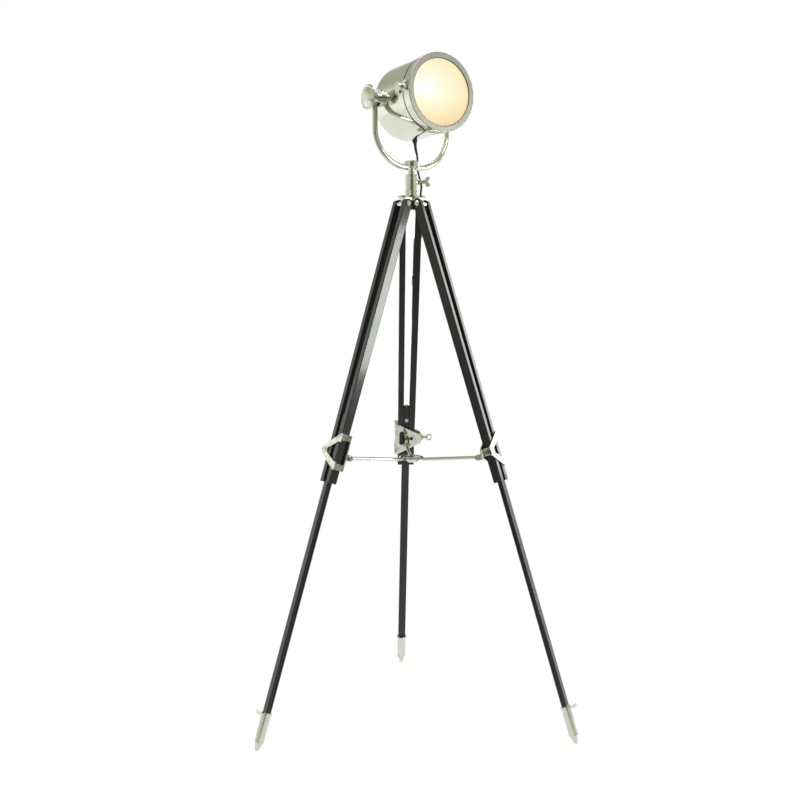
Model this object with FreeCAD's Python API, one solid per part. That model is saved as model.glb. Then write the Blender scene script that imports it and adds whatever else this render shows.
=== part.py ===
"""Tripod spotlight floor lamp: a drum spotlight in a fork, on three folding wooden legs.

Millimetres, +Z up, the origin on the floor under the stem. The rear leg points along +Y.
A leg is drawn upright in its own frame (X clockwise seen from above, Y outward, Z up the
leg from its tip) and then leaned and turned into place. The head is drawn along +X about
the tilt axis and then aimed.
"""
import FreeCAD, Part
import math
import os

V = FreeCAD.Vector
X = V(1, 0, 0)
Y = V(0, 1, 0)
Z = V(0, 0, 1)
O = V(0, 0, 0)

# --- driving dimensions -----------------------------------------------------------------
FOOT_RADIUS = 420.0          # circle on which the three tips stand
PIVOT_RADIUS = 27.0          # leg pivots, from the stem axis
PIVOT_HEIGHT = 1242.0
LEG_LEAN = math.degrees(math.atan2(FOOT_RADIUS - PIVOT_RADIUS, PIVOT_HEIGHT))
LEG_LENGTH = math.hypot(FOOT_RADIUS - PIVOT_RADIUS, PIVOT_HEIGHT)
LEG_TURNS = {"rear": 0.0, "left": 120.0, "right": 240.0}

SLAT_WIDE = 15.0             # tangential
SLAT_DEEP = 21.0             # radial
SLAT_BOTTOM = 622.0          # along the leg from the tip
SLAT_TOP = LEG_LENGTH + 12.0
GAP_BOTTOM = 12.0            # between the two slats
GAP_TOP = 24.4
GROOVE_WIDE = 13.8
GROOVE_DEEP = 4.3
SPLAY = math.degrees(math.atan2((GAP_TOP - GAP_BOTTOM) / 2, LEG_LENGTH - SLAT_BOTTOM))

LOWER_WIDE = 20.0
LOWER_DEEP = 13.0
LOWER_ROUND = 3.0
LOWER_BOTTOM = 60.0
LOWER_TOP = 785.0
FERRULE_TOP = 87.0
FERRULE_RADIUS = 11.6

CLAMP_S = 696.0              # centre of the clamp along the leg
CLAMP_HALF = 42.5
CLAMP_JAW_X = -30.0
CLAMP_APEX_X = 39.0
PLATE = 3.0
ROD_PIVOT_Y = -36.5
ROD_PIVOT_S = 689.0
ROD_RADIUS = 4.0
ROD_END_RADIUS = 25.0        # inner end of a rod, from the stem axis
DISC_RADIUS = 30.0
DISC_THICK = 16.0
DISC_Z = 633.0

PLATE_Z = 1256.8             # underside of the crown plate
PLATE_THICK = 5.2
HUB_BOTTOM = 1229.5
HUB_RADIUS = 14.5
LUG_HALF = 11.9
KNUCKLE_RADIUS = 8.5
BOLT_RADIUS = 4.0

SLEEVE_TOP = 1313.0
SLEEVE_RADIUS = 15.6
STEM_RADIUS = 9.0
STEM_BOTTOM = 1237.5
WING_Z = 1297.0

BOSS_BOTTOM = 1323.0
BOSS_TOP = 1347.5
BOSS_RADIUS = 20.0
FORK_HALF = 102.0
FORK_BAR = 6.6
FORK_BASE_Z = 1330.0
FORK_BEND = 86.0              # radius of the two bends of the fork
TILT_Z = 1482.5
PAN = -61.05                 # where the lens points, from +X
TILT = 1.2                   # lens above level

DRUM_RADIUS = 88.0
DRUM_WALL = 1.6
DRUM_FRONT = 104.0
DRUM_STRAIGHT_BACK = -12.5
DRUM_BACK_ROUND = 54.0
BEZEL_RADIUS = 89.4
BEZEL_OPENING = 77.0
BEZEL_FRONT = 126.0
BEZEL_BACK = 104.6
TRUNNION_RADIUS = 20.0
TRUNNION_END = 95.0
EYE_HALF = 6.7
KNOB_RADIUS = 29.5
HINGE_S = 104.3
HINGE_Y = 94.5
LATCH_S = 98.6
LATCH_TURN = -5.0           # latch sits this far above the tilt axis
CLIP_TURN = 250.0
GLAND_TURN = 5.0             # cord leaves the drum this far round from its lowest line

CORD_RADIUS = 2.5
COIL_INNER = 15.5            # radius of the tightest end turn
COIL_PITCH = 5.7
COIL_TURNS = 3               # in each of two layers
COIL_RUN = 170.0
COIL_X = 18.5
COIL_S = 1100.0
GUIDE = V(15.5, 20.5, 1342.0)    # centre of the cord guide behind the fork's boss
GUIDE_HALF = 4.0
GROMMET_RADIUS = 26.0        # cord hole in the crown, from the stem axis
PLUG_S = 942.0
PLUG_Y = 29.3
PLUG_X = 18.0


def box(x0, x1, y0, y1, z0, z1):
    return Part.makeBox(x1 - x0, y1 - y0, z1 - z0, V(x0, y0, z0))


def rod(radius, start, end):
    axis = end - start
    return Part.makeCylinder(radius, axis.Length, start, axis)


def spun(points, axis_point=O, axis=X):
    """Turn an outline of (along, out) points about X, or about another axis."""
    face = Part.Face(Part.makePolygon([V(s, r, 0) for s, r in points + points[:1]]))
    return face.revolve(axis_point, axis, 360)


def prism(points, depth_from, depth_to):
    """Extrude an outline of (x, z) points along Y."""
    face = Part.Face(Part.makePolygon([V(x, depth_from, z) for x, z in points + points[:1]]))
    return face.extrude(V(0, depth_to - depth_from, 0))


def turned(shape, centre, axis, angle):
    copy = shape.copy()
    copy.rotate(centre, axis, angle)
    return copy


def moved(shape, x, y, z):
    copy = shape.copy()
    copy.translate(V(x, y, z))
    return copy


def rounded(shape, radius, pick):
    edges = [edge for edge in shape.Edges if pick(edge)]
    return shape.makeFillet(radius, edges)


def runs_along_z(edge):
    return abs(edge.tangentAt(edge.FirstParameter).z) > 0.99


def runs_along_y(edge):
    ends = [vertex.Point for vertex in edge.Vertexes]
    return len(ends) == 2 and abs(ends[0].y - ends[1].y) > 1


def place_leg(shape, turn):
    copy = turned(shape, O, X, LEG_LEAN)
    copy.translate(V(0, FOOT_RADIUS, 0))
    return turned(copy, O, Z, turn)


def place_yoke(shape):
    return turned(shape, O, Z, PAN)


def place_head(shape):
    copy = turned(shape, O, Y, -TILT)
    copy.translate(V(0, 0, TILT_Z))
    return turned(copy, O, Z, PAN)


def save(name, shape):
    shape = shape.removeSplitter()
    if not shape.isValid() or len(shape.Solids) != 1:
        print("CHECK", name, "valid", shape.isValid(), "solids", len(shape.Solids))
    shape.exportStep("parts/%s.step" % name)


# --- legs -------------------------------------------------------------------------------
def slat(side):
    """One of the two upper slats; side is +1 (clockwise) or -1."""
    inner = GAP_TOP / 2
    body = box(inner, inner + SLAT_WIDE, -SLAT_DEEP / 2, SLAT_DEEP / 2, SLAT_BOTTOM, SLAT_TOP)
    body = rounded(body, 1.6, runs_along_z)
    round_end = prism_arch(inner - 1, inner + SLAT_WIDE + 1)
    body = body.common(round_end)
    groove = box(inner - 1, inner + GROOVE_DEEP, -GROOVE_WIDE / 2, GROOVE_WIDE / 2,
                 SLAT_BOTTOM - 1, LEG_LENGTH - 18)
    body = body.cut(groove)
    body = turned(body, V(inner, 0, LEG_LENGTH), Y, SPLAY)
    bolt = rod(BOLT_RADIUS + 0.05, V(0, 0, LEG_LENGTH), V(60, 0, LEG_LENGTH))
    body = body.cut(bolt)
    return body if side > 0 else body.mirror(O, X)


def prism_arch(x0, x1):
    """A long bar with a rounded top end that trims a slat."""
    radius = SLAT_DEEP / 2 + 0.5
    bar = box(x0, x1, -radius, radius, SLAT_BOTTOM - 1, SLAT_TOP - radius)
    return bar.fuse(rod(radius, V(x0, 0, SLAT_TOP - radius), V(x1, 0, SLAT_TOP - radius)))


def pivot_bolt():
    reach = GAP_TOP / 2 + SLAT_WIDE + 0.6
    centre = V(0, 0, LEG_LENGTH)
    bolt = rod(BOLT_RADIUS, centre - X * (reach + 1), centre + X * (reach + 1))
    for side in (-1, 1):
        out = X * side
        head = rod(6.8, centre + out * reach, centre + out * (reach + 1.5))
        crest = Part.makeCone(6.8, 4.6, 1.3, centre + out * (reach + 1.5), out)
        ends = sorted((side * (reach + 1.6), side * (reach + 4)))
        slot = box(ends[0], ends[1], -0.8, 0.8, LEG_LENGTH - 7, LEG_LENGTH + 7)
        bolt = bolt.fuse(head.fuse(crest).cut(slot))
    return bolt


def lower_leg():
    half = LOWER_WIDE / 2
    body = box(-half, half, -LOWER_DEEP / 2, LOWER_DEEP / 2, LOWER_BOTTOM, LOWER_TOP)
    body = rounded(body, LOWER_ROUND, runs_along_z)
    top = rod(half, V(0, -20, LOWER_TOP - half), V(0, 20, LOWER_TOP - half))
    keep = box(-half - 1, half + 1, -20, 20, LOWER_BOTTOM - 1, LOWER_TOP - half).fuse(top)
    body = body.common(keep)
    for side in (-1, 1):
        edge = side * half
        groove = box(min(edge, edge - side * 1.5), max(edge, edge - side * 1.5),
                     -1.5, 1.5, FERRULE_TOP + 12, LOWER_TOP - 30)
        body = body.cut(groove)
    return body.cut(rod(2.5, V(0, -9, 747), V(0, 9, 747)))


def ferrule():
    cone = Part.makeCone(FERRULE_RADIUS - 0.9, FERRULE_RADIUS, FERRULE_TOP - 21, V(0, 0, 21), Z)
    tip = Part.makeCone(3.2, FERRULE_RADIUS - 1.6, 22.2, V(0, 0, -1.2), Z)
    collar = Part.makeCylinder(FERRULE_RADIUS - 0.4, 4, V(0, 0, 19), Z)
    body = cone.fuse(tip).fuse(collar)
    socket = box(-LOWER_WIDE / 2, LOWER_WIDE / 2, -LOWER_DEEP / 2, LOWER_DEEP / 2,
                 LOWER_BOTTOM, FERRULE_TOP + 1)
    socket = socket.common(Part.makeCylinder(FERRULE_RADIUS - 0.6, 60, V(0, 0, LOWER_BOTTOM), Z))
    rim = Part.makeCylinder(FERRULE_RADIUS + 1.6, 5, V(0, 0, FERRULE_TOP - 6), Z)
    spur = box(-7, 7, FERRULE_RADIUS - 1, 25, FERRULE_TOP - 5, FERRULE_TOP - 2.5)
    lip = box(-7, 7, 22.6, 25, FERRULE_TOP - 5, FERRULE_TOP + 2)
    body = body.fuse(rim).fuse(spur).fuse(lip)
    body = body.cut(leg_socket())
    flat = turned(box(-30, 30, -30, 30, -30, 0), O, X, -LEG_LEAN)
    return body.cut(flat)


def leg_socket():
    """The room that the wood takes inside the ferrule."""
    half = LOWER_WIDE / 2
    wood = box(-half, half, -LOWER_DEEP / 2, LOWER_DEEP / 2, LOWER_BOTTOM, FERRULE_TOP + 20)
    return rounded(wood, LOWER_ROUND, runs_along_z)


def stop_screw():
    shank = rod(2.4, V(0, -7, 747), V(0, 5, 747))
    head = rod(5.0, V(0, -LOWER_DEEP / 2 - 2.6, 747), V(0, -LOWER_DEEP / 2, 747))
    return shank.fuse(head)


def clamp():
    """Bracket that squeezes the two slats onto the lower leg, with the lug for the rod."""
    outline = [(CLAMP_JAW_X, -CLAMP_HALF), (CLAMP_JAW_X + 7, -CLAMP_HALF), (CLAMP_APEX_X, -10),
               (CLAMP_APEX_X, 10), (CLAMP_JAW_X + 7, CLAMP_HALF), (CLAMP_JAW_X, CLAMP_HALF)]
    face = SLAT_DEEP / 2
    outer = rounded(prism(outline, face, face + PLATE), 5.0, at_apex)
    opening = prism([(CLAMP_JAW_X - 1, -23), (-19, -23), (13, -8), (13, 8), (-19, 23),
                     (CLAMP_JAW_X - 1, 23)], face - 1, face + PLATE + 1)
    outer = outer.cut(opening.fuse(rod(8.0, V(13, face - 1, 0), V(13, face + PLATE + 1, 0))))
    inner = rounded(prism(outline, -face - PLATE, -face), 5.0, at_apex)
    inner = inner.cut(rod(4.6, V(13.5, -face - PLATE - 1, 2), V(13.5, 0, 2)))
    window = box(-6, 6, -30, 0, -10, 16).fuse(rod(6, V(0, -30, -10), V(0, 0, -10)))
    window = window.fuse(rod(6, V(0, -30, 16), V(0, 0, 16)))
    inner = inner.cut(moved(window, -12, 0, 0))
    body = outer.fuse(inner)
    edge = slat_outer_face(CLAMP_S - CLAMP_HALF)
    for low in (-CLAMP_HALF, CLAMP_HALF - 15):
        body = body.fuse(box(CLAMP_JAW_X, -edge - 0.9, -face, face, low, low + 15))
    apex = box(edge + 3.0, CLAMP_APEX_X, -face, face, -9, 9)
    body = body.fuse(apex)
    boss = rod(8.5, V(CLAMP_APEX_X - 3, 0, 0), V(CLAMP_APEX_X + 4, 0, 0))
    body = body.fuse(boss)
    body = body.cut(rod(3.55, V(edge, 0, 0), V(60, 0, 0)))
    for side in (-1, 1):
        cheek = rod_lug().common(box(min(side * 3.3, side * 7), max(side * 3.3, side * 7),
                                     -60, 60, -60, 60))
        body = body.fuse(cheek)
    drop = ROD_PIVOT_S - CLAMP_S
    pin = rod(2.5, V(-9, ROD_PIVOT_Y, drop), V(9, ROD_PIVOT_Y, drop))
    for side in (-1, 1):
        pin = pin.fuse(rod(4.5, V(side * 7, ROD_PIVOT_Y, drop), V(side * 9.6, ROD_PIVOT_Y, drop)))
    return moved(body.fuse(pin), 0, 0, CLAMP_S)


def at_apex(edge):
    """Whether an edge runs along Y at the pointed end of a clamp plate."""
    ends = [vertex.Point for vertex in edge.Vertexes]
    return abs(ends[0].x - CLAMP_APEX_X) < 0.1 and abs(ends[0].y - ends[1].y) > 1


def rod_lug():
    drop = ROD_PIVOT_S - CLAMP_S
    arm = box(-7, 7, ROD_PIVOT_Y, -SLAT_DEEP / 2 - 0.5, drop - 7, drop + 7)
    return arm.fuse(rod(7, V(-7, ROD_PIVOT_Y, drop), V(7, ROD_PIVOT_Y, drop)))


def slat_outer_face(s):
    return GAP_TOP / 2 + SLAT_WIDE - (LEG_LENGTH - s) * math.tan(math.radians(SPLAY))


def wing_head(base, half):
    """A V-shaped pair of wings on a short hub, along +X from x = base; half is their reach."""
    hub = rod(5.5, V(base, 0, 0), V(base + 7, 0, 0))
    wings = [(base + 3, -5), (base + 10, -half), (base + 15, 0.5 - half), (base + 17, 5.5 - half),
             (base + 12, -1.5), (base + 12, 1.5), (base + 17, half - 5.5), (base + 15, half - 0.5),
             (base + 10, half), (base + 3, 5)]
    ears = prism(wings, -1.8, 1.8)
    return hub.fuse(ears)


def loop_handle(base):
    """A flat upright loop on a short neck, along +X from x = base."""
    neck = rod(4.8, V(base, 0, 0), V(base + 5, 0, 0))
    loop = rounded(box(base + 4, base + 17, -1.9, 1.9, -8.5, 8.5), 3.0, runs_along_y)
    window = rounded(box(base + 7.5, base + 14, -3, 3, -5.2, 5.2), 2.0, runs_along_y)
    return neck.fuse(loop.cut(window))


def thumbscrew():
    tip = slat_outer_face(CLAMP_S) + 0.6
    shank = rod(3.5, V(tip, 0, 0), V(CLAMP_APEX_X + 12, 0, 0))
    pad = rod(4.6, V(tip, 0, 0), V(tip + 1.8, 0, 0))
    collar = rod(5.0, V(CLAMP_APEX_X + 5, 0, 0), V(CLAMP_APEX_X + 7, 0, 0))
    screw = shank.fuse(pad).fuse(collar).fuse(loop_handle(CLAMP_APEX_X + 11))
    return moved(screw, 0, 0, CLAMP_S)


def rod_ends():
    """Outer pivot and inner end of a rod in the rear leg's plane, as (y, z)."""
    lean = math.radians(LEG_LEAN)
    outer_y = FOOT_RADIUS + ROD_PIVOT_Y * math.cos(lean) - ROD_PIVOT_S * math.sin(lean)
    outer_z = ROD_PIVOT_Y * math.sin(lean) + ROD_PIVOT_S * math.cos(lean)
    return V(0, outer_y, outer_z), V(0, ROD_END_RADIUS, DISC_Z)


def spreader_rod(turn):
    outer, inner = rod_ends()
    along = inner - outer
    along.normalize()
    bar = rod(ROD_RADIUS, outer + along * 10.5, inner - along * 9)
    bar = bar.fuse(Part.makeCone(ROD_RADIUS, 2.3, 9, inner - along * 9, along))
    neck = Part.makeCone(3.0, ROD_RADIUS, 2.5, outer + along * 8.5, along)
    eye = rod(6.4, outer - X * 3, outer + X * 3)
    up = X.cross(along)
    corner = outer - X * 3 - up * 4.4
    tongue = Part.Face(Part.makePolygon([corner, corner + up * 8.8, corner + up * 8.8 + along * 11,
                                         corner + along * 11, corner])).extrude(X * 6)
    body = bar.fuse(neck).fuse(eye).fuse(tongue)
    body = body.cut(rod(2.55, outer - X * 12, outer + X * 12))
    return turned(body, O, Z, turn)


def spreader_disc():
    low = DISC_Z - DISC_THICK / 2
    profile = [(0, 0), (0, 12), (1.5, 14.5), (6, 18.5), (8, 22.5), (9, DISC_RADIUS),
               (DISC_THICK - 3, DISC_RADIUS), (DISC_THICK - 1, DISC_RADIUS - 3),
               (DISC_THICK, DISC_RADIUS - 11), (DISC_THICK, 0)]
    body = spun([(s, r) for s, r in profile])
    body = turned(body, O, Y, -90)
    body = moved(body, 0, 0, low)
    for turn in LEG_TURNS.values():
        notch = box(-4.6, 4.6, 14, 60, low - 1, low + DISC_THICK + 1)
        under = box(-4.6, 4.6, -2, 60, low - 1, low + DISC_THICK - 3.5)
        body = body.cut(turned(notch.fuse(under), O, Z, turn))
    return body


# --- crown and stem ---------------------------------------------------------------------
def crown():
    plate = Part.makeCylinder(27, PLATE_THICK, V(0, 0, PLATE_Z), Z)
    hub = Part.makeCylinder(HUB_RADIUS, PLATE_Z - HUB_BOTTOM + 1, V(0, 0, HUB_BOTTOM), Z)
    body = plate.fuse(hub)
    for turn in LEG_TURNS.values():
        lobe = Part.makeCylinder(13, PLATE_THICK, V(0, 24, PLATE_Z), Z)
        web = box(-LUG_HALF, LUG_HALF, 8, PIVOT_RADIUS, PIVOT_HEIGHT - KNUCKLE_RADIUS, PLATE_Z + 1)
        knuckle = rod(KNUCKLE_RADIUS, V(-LUG_HALF, PIVOT_RADIUS, PIVOT_HEIGHT),
                      V(LUG_HALF, PIVOT_RADIUS, PIVOT_HEIGHT))
        hole = rod(BOLT_RADIUS + 0.05, V(-40, PIVOT_RADIUS, PIVOT_HEIGHT),
                   V(40, PIVOT_RADIUS, PIVOT_HEIGHT))
        lug = lobe.fuse(web).fuse(knuckle)
        body = body.fuse(turned(lug, O, Z, turn))
        body = body.cut(turned(hole, O, Z, turn))
    notch = rod(4.9, V(0, GROMMET_RADIUS, PLATE_Z - 1), V(0, GROMMET_RADIUS, PLATE_Z + 8))
    notch = notch.fuse(box(-4, 4, GROMMET_RADIUS, 40, PLATE_Z - 1, PLATE_Z + 8))
    body = body.cut(turned(notch, O, Z, -60))
    return body.cut(Part.makeCylinder(STEM_RADIUS + 0.03, 90, V(0, 0, STEM_BOTTOM - 0.4), Z))


def grommet():
    low = PLATE_Z - 1.6
    axis = V(0, GROMMET_RADIUS, 0)
    body = rod(4.9, axis + Z * PLATE_Z, axis + Z * (PLATE_Z + PLATE_THICK))
    top = PLATE_Z + PLATE_THICK
    flange = rod(6.6, axis + Z * top, axis + Z * (top + 1.6))
    ring = body.fuse(flange)
    ring = ring.cut(rod(CORD_RADIUS, axis + Z * (low - 1), axis + Z * (PLATE_Z + 12)))
    ring = ring.cut(Part.makeCylinder(18.2, 30, V(0, 0, PLATE_Z), Z))
    return turned(ring, O, Z, -60)


def sleeve():
    base = PLATE_Z + PLATE_THICK
    outline = [(base, STEM_RADIUS + 0.04), (base, 17.8), (base + 3.5, 17.8), (base + 5, 15.4),
               (base + 9, 15.2), (base + 9.6, 16.4), (base + 13, 16.4), (base + 13.6, 15.2),
               (SLEEVE_TOP - 9, 15.2), (SLEEVE_TOP - 8.4, SLEEVE_RADIUS),
               (SLEEVE_TOP - 2, SLEEVE_RADIUS), (SLEEVE_TOP, 14.2),
               (SLEEVE_TOP, STEM_RADIUS + 0.04)]
    body = turned(spun(outline), O, Y, -90)
    body = body.fuse(rod(7, V(14, 0, WING_Z), V(20.5, 0, WING_Z)))
    body = body.cut(Part.makeCylinder(STEM_RADIUS + 0.04, 80, V(0, 0, base - 1), Z))
    body = body.cut(box(-30, 0, -1, 1, base + 8, SLEEVE_TOP + 1))
    return body.cut(rod(3.55, V(5, 0, WING_Z), V(40, 0, WING_Z)))


def stem_screw():
    shank = rod(3.5, V(STEM_RADIUS + 0.3, 0, 0), V(30, 0, 0))
    screw = shank.fuse(wing_head(27, 13.5))
    return moved(turned(screw, O, X, -25), 0, 0, WING_Z)


def stem():
    tube = Part.makeCylinder(STEM_RADIUS, BOSS_BOTTOM - STEM_BOTTOM, V(0, 0, STEM_BOTTOM), Z)
    spigot = Part.makeCylinder(6, BOSS_TOP - 4 - BOSS_BOTTOM, V(0, 0, BOSS_BOTTOM), Z)
    return tube.fuse(spigot)


def fork():
    """Round bar bent to a U, with its boss and the two eyes, tilt axis along Y."""
    bend_z = FORK_BASE_Z + FORK_BEND
    flat = FORK_HALF - FORK_BEND
    slant = FORK_BEND * math.sqrt(0.5)
    top = TILT_Z - 9
    left = V(0, -FORK_HALF, bend_z)
    right = V(0, FORK_HALF, bend_z)
    low_left = V(0, -flat, FORK_BASE_Z)
    low_right = V(0, flat, FORK_BASE_Z)
    path = Part.Wire([
        Part.LineSegment(V(0, -FORK_HALF, top), left).toShape(),
        Part.Arc(left, V(0, -flat - slant, bend_z - slant), low_left).toShape(),
        Part.LineSegment(low_left, low_right).toShape(),
        Part.Arc(low_right, V(0, flat + slant, bend_z - slant), right).toShape(),
        Part.LineSegment(right, V(0, FORK_HALF, top)).toShape()])
    ring = Part.Wire([Part.makeCircle(FORK_BAR, V(0, -FORK_HALF, top), Z)])
    body = path.makePipeShell([ring], True, False)
    boss_outline = [(BOSS_BOTTOM, 0), (BOSS_BOTTOM, 11.5), (BOSS_BOTTOM + 4, 15),
                    (BOSS_BOTTOM + 8.5, BOSS_RADIUS), (BOSS_TOP - 5.3, BOSS_RADIUS),
                    (BOSS_TOP - 2.6, 16), (BOSS_TOP - 0.6, 9), (BOSS_TOP, 4), (BOSS_TOP, 0)]
    body = body.fuse(turned(spun(boss_outline), O, Y, -90))
    for side in (-1, 1):
        start = V(0, side * (FORK_HALF - EYE_HALF), TILT_Z)
        end = V(0, side * (FORK_HALF + EYE_HALF), TILT_Z)
        body = body.fuse(rod(12.5, start, end)).cut(rod(4.35, start - Y * 9 * side, end + Y * 9 * side))
    return body.cut(Part.makeCylinder(6.04, BOSS_TOP - 3.6 - BOSS_BOTTOM, V(0, 0, BOSS_BOTTOM), Z))


# --- head, along +X about the tilt axis -------------------------------------------------
def solid_of_arc(radius, back_round, front):
    """Closed bullet: a cylinder, a quarter round and a flat back."""
    centre_r = DRUM_RADIUS - DRUM_BACK_ROUND
    start = V(DRUM_STRAIGHT_BACK, centre_r + back_round, 0)
    end = V(DRUM_STRAIGHT_BACK - back_round, centre_r, 0)
    diagonal = back_round * math.sqrt(0.5)
    middle = V(DRUM_STRAIGHT_BACK - diagonal, centre_r + diagonal, 0)
    edges = [Part.LineSegment(V(front, 0, 0), V(front, radius, 0)).toShape(),
             Part.LineSegment(V(front, radius, 0), start).toShape(),
             Part.Arc(start, middle, end).toShape(),
             Part.LineSegment(end, V(end.x, 0, 0)).toShape(),
             Part.LineSegment(V(end.x, 0, 0), V(front, 0, 0)).toShape()]
    return Part.Face(Part.Wire(edges)).revolve(O, X, 360)


def drum():
    outside = solid_of_arc(DRUM_RADIUS, DRUM_BACK_ROUND, DRUM_FRONT)
    inside = solid_of_arc(DRUM_RADIUS - DRUM_WALL, DRUM_BACK_ROUND - DRUM_WALL, DRUM_FRONT + 5)
    body = outside.cut(inside)
    gland_hole = rod(4.05, V(0, 0, -100), V(0, 0, -60))
    body = body.cut(turned(gland_hole, O, X, GLAND_TURN))
    for side in (-1, 1):
        body = body.cut(rod(6.2, V(0, side * 60, 0), V(0, side * 99, 0)))
    screw_hole = rod(2.6, V(LATCH_S, -95, 0), V(LATCH_S, -60, 0))
    body = body.cut(turned(screw_hole, O, X, LATCH_TURN))
    return body.cut(rod(5.1, V(-90, 0, 0), V(-40, 0, 0)))


def trunnion(side):
    body = rod(TRUNNION_RADIUS, V(0, side * 70, 0), V(0, side * TRUNNION_END, 0))
    body = body.cut(rod(DRUM_RADIUS, V(-40, 0, 0), V(40, 0, 0)))
    spigot = rod(6.1, V(0, side * (DRUM_RADIUS - 6), 0), V(0, side * (TRUNNION_END - 1), 0))
    body = body.fuse(spigot)
    return body.cut(rod(3.6, V(0, side * 70, 0), V(0, side * 99, 0)))


def knob(side):
    """Domed hand knob with a scalloped rim and its stud, about Y."""
    near = FORK_HALF + EYE_HALF + 0.5
    outline = [(near, 0), (near, 12), (near + 4, 12), (near + 5.5, 19), (near + 7.5, 26.5),
               (near + 10, KNOB_RADIUS), (near + 13, KNOB_RADIUS - 1), (near + 14.5, 26),
               (near + 13.8, 23), (near + 15, 20), (near + 17.5, 13), (near + 18.8, 6),
               (near + 19, 0)]
    body = spun(outline)
    for step in range(16):
        angle = math.radians(step * 22.5)
        y = 32.4 * math.cos(angle)
        z = 32.4 * math.sin(angle)
        body = body.cut(rod(4.4, V(near - 1, y, z), V(near + 20, y, z)))
    stud = rod(3.5, V(DRUM_RADIUS - 4, 0, 0), V(near + 2, 0, 0))
    return turned(body.fuse(stud), O, Z, 90 * side)


def bezel():
    ring = spun([(BEZEL_BACK, BEZEL_RADIUS - 1.8), (BEZEL_BACK, BEZEL_RADIUS),
                 (BEZEL_FRONT - 1, BEZEL_RADIUS), (BEZEL_FRONT, BEZEL_RADIUS - 1),
                 (BEZEL_FRONT, BEZEL_OPENING + 0.6), (BEZEL_FRONT - 0.6, BEZEL_OPENING),
                 (BEZEL_FRONT - 2, BEZEL_OPENING), (BEZEL_FRONT - 2, BEZEL_RADIUS - 1.8)])
    foot = box(BEZEL_BACK, 119, -92.2, -80, -12, 12)
    foot = foot.cut(rod(BEZEL_RADIUS - 0.9, V(80, 0, 0), V(140, 0, 0)))
    tongue = box(90, 107, -92.2, -85, -8, 8).cut(rod(DRUM_RADIUS + 1.7, V(80, 0, 0), V(140, 0, 0)))
    slot = box(88, LATCH_S, -99, -80, -3, 3).fuse(rod(3, V(LATCH_S, -99, 0), V(LATCH_S, -80, 0)))
    latch = turned(foot.fuse(tongue).cut(slot), O, X, LATCH_TURN)
    clip = box(107, 119, 80, 92, -6, 6).cut(rod(BEZEL_RADIUS - 0.9, V(80, 0, 0), V(140, 0, 0)))
    for along in (110, 116):
        clip = clip.fuse(rod(1.6, V(along, 88.9, 0), V(along, 93, 0)))
    return ring.fuse(latch).fuse(turned(clip, O, X, CLIP_TURN))


def ring_of(front, back, outer, inner):
    return spun([(front, outer), (back, outer), (back, inner), (front, inner)])


def lens():
    return Part.makeCylinder(86.0, 3.4, V(117.6, 0, 0), X)


def latch_screw():
    body = rod(2.5, V(LATCH_S, -93, 0), V(LATCH_S, -84.7, 0))
    head = rod(6.4, V(LATCH_S, -96.5, 0), V(LATCH_S, -92.7, 0))
    head = head.fuse(Part.makeCone(6.4, 3.4, 3.2, V(LATCH_S, -96.5, 0), Y * -1))
    head = head.cut(box(LATCH_S - 8, LATCH_S + 8, -101, -98.2, -0.8, 0.8))
    return turned(body.fuse(head), O, X, LATCH_TURN)


def latch_plate():
    plate = box(72, 88, -91, -80, -13, 13).cut(rod(DRUM_RADIUS, V(60, 0, 0), V(110, 0, 0)))
    for z in (-9, 9):
        plate = plate.fuse(rod(2.2, V(77, -92.3, z), V(77, -90, z)))
    return turned(plate, O, X, LATCH_TURN)


def hinge_drum():
    leaf = box(84, 101, 80, 91.4, -13, 13).cut(rod(DRUM_RADIUS, V(60, 0, 0), V(110, 0, 0)))
    for low in (-13, 4):
        leaf = leaf.fuse(rod(3.6, V(HINGE_S, HINGE_Y, low), V(HINGE_S, HINGE_Y, low + 9)))
        leaf = leaf.fuse(box(96, HINGE_S, 90.9, 94, low, low + 9))
    pin = rod(1.5, V(HINGE_S, HINGE_Y, -13), V(HINGE_S, HINGE_Y, 13))
    return leaf.fuse(pin)


def hinge_bezel():
    leaf = box(109, 121, 80, 91.9, -13, 13).cut(rod(BEZEL_RADIUS, V(60, 0, 0), V(140, 0, 0)))
    leaf = leaf.fuse(box(HINGE_S + 1, 110, 90.6, 94, -3.7, 3.7))
    leaf = leaf.fuse(rod(3.6, V(HINGE_S, HINGE_Y, -3.7), V(HINGE_S, HINGE_Y, 3.7)))
    return leaf.cut(rod(1.56, V(HINGE_S, HINGE_Y, -20), V(HINGE_S, HINGE_Y, 20)))


def rear_cap():
    back = DRUM_STRAIGHT_BACK - DRUM_BACK_ROUND
    body = rod(27, V(back, 0, 0), V(back - 2, 0, 0))
    body = body.fuse(Part.makeCone(27, 20, 4, V(back - 2, 0, 0), X * -1))
    for step in range(6):
        slot = box(back - 9, back - 1.5, 9, 17, -1.6, 1.6)
        body = body.cut(turned(slot, O, X, step * 60))
    return body


def reflector():
    """Spun bowl behind the lens, open at its neck for the bulb."""
    outer = [(94, 84.3), (82, 82), (60, 74), (36, 61), (16, 44), (2, 26)]
    inner = [(s + 1.2, r - 1.0) for s, r in reversed(outer)]
    return spun(outer + inner[:-1] + [(94, 83.2)])


def lampholder():
    back = DRUM_STRAIGHT_BACK - DRUM_BACK_ROUND + DRUM_WALL
    outline = [(back, 0), (back, 17), (back + 3, 17), (back + 3, 11), (back + 12, 11),
               (back + 14, 19), (back + 50, 19), (back + 52, 17), (back + 52, 13.6),
               (back + 22, 13.6), (back + 22, 0)]
    return spun(outline)


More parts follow.
